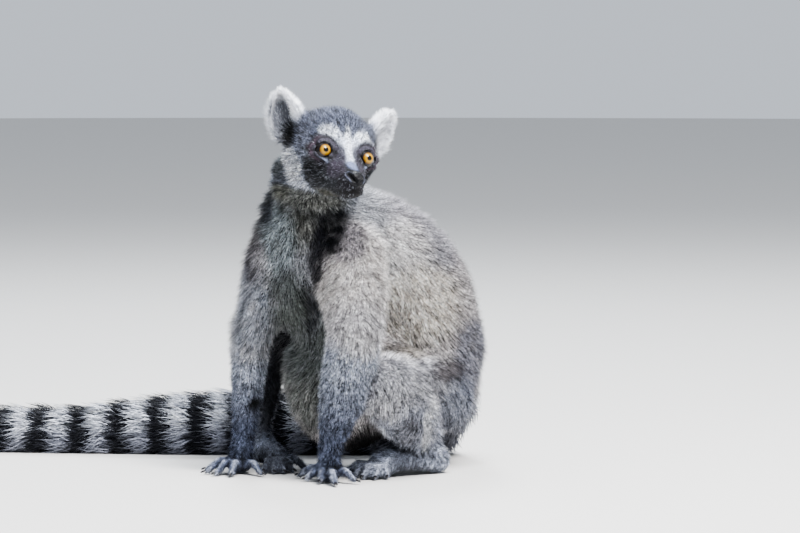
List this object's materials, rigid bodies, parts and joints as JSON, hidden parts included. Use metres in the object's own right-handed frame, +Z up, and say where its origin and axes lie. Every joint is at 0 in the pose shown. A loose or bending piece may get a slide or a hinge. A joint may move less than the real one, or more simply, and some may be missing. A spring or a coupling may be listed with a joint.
{
  "type": "ring-tailed lemur",
  "caption": "Life-size ring-tailed lemur crouched on all fours, head turned to its left, long banded tail laid along the floor.",
  "frame": {"origin": "centre of the bounding box on the floor", "axes": "+Z up, -Y the way the chest faces, +X the animal's own left"},
  "size_m": [0.5714, 0.3098, 0.3398],
  "materials": {
    "coat": "soft dense fur",
    "eye": "wet and glossy",
    "bare_skin": "moist, finely grained"
  },
  "bodies": {
    "root": {"head": "coat", "neck": "coat", "chest": "coat", "abdomen": "coat", "ear_left": "coat", "ear_right": "coat", "upper_arm_left": "coat", "upper_arm_right": "coat", "forearm_left": "coat", "forearm_right": "coat", "hand_left": "coat", "hand_right": "coat", "thigh_left": "coat", "thigh_right": "coat", "shank_left": "coat", "shank_right": "coat", "foot_left": "coat", "foot_right": "coat", "tail_1": "coat", "tail_2": "coat", "tail_3": "coat", "tail_4": "coat", "tail_5": "coat", "eye_left": "eye", "eye_right": "eye", "nose": "bare_skin"}
  },
  "joints": []
}
